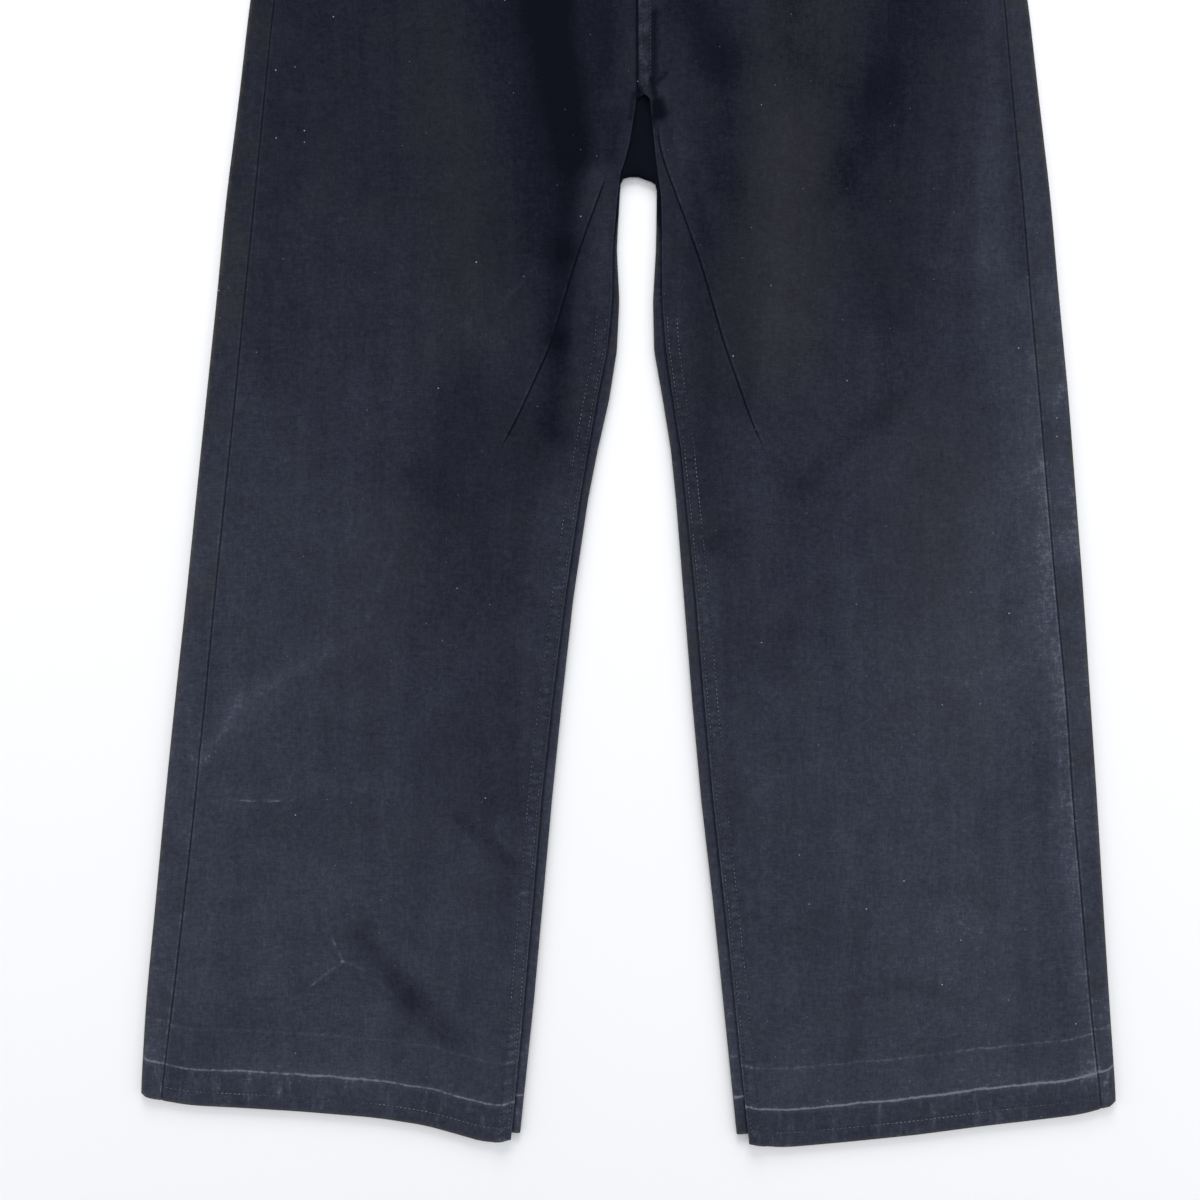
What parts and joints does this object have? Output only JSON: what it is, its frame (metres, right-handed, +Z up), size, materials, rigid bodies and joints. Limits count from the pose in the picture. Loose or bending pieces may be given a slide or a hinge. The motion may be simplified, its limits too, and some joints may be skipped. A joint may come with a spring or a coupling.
{
  "type": "wide-leg jeans",
  "caption": "Black wide-leg jeans in heavy cotton, laid flat on their back with the fly side up and the legs a little apart.",
  "frame": {"origin": "middle of the outline on the surface that the jeans lie on", "axes": "+Y from the hems to the waist, +X to the viewer's right of the garment seen from its front, +Z up off the surface, through the front"},
  "size_m": [0.6843, 0.9885, 0.0113],
  "materials": {
    "black_cotton": "washed heavy twill, matt, greyer at the edges and hems",
    "zip_tape": "woven tape",
    "button_metal": "dull gunmetal"
  },
  "bodies": {
    "root": {"front_left": "black_cotton", "front_right": "black_cotton", "back_left": "black_cotton", "back_right": "black_cotton", "yoke_left": "black_cotton", "yoke_right": "black_cotton", "waistband": "black_cotton", "pocket_facing_left": "black_cotton", "pocket_facing_right": "black_cotton", "back_pocket_left": "black_cotton", "back_pocket_right": "black_cotton", "belt_loop_back_left": "black_cotton", "belt_loop_back_centre": "black_cotton", "belt_loop_back_right": "black_cotton", "belt_loop_front_left": "black_cotton", "belt_loop_front_right": "black_cotton", "zip": "zip_tape", "button": "button_metal"}
  },
  "joints": []
}
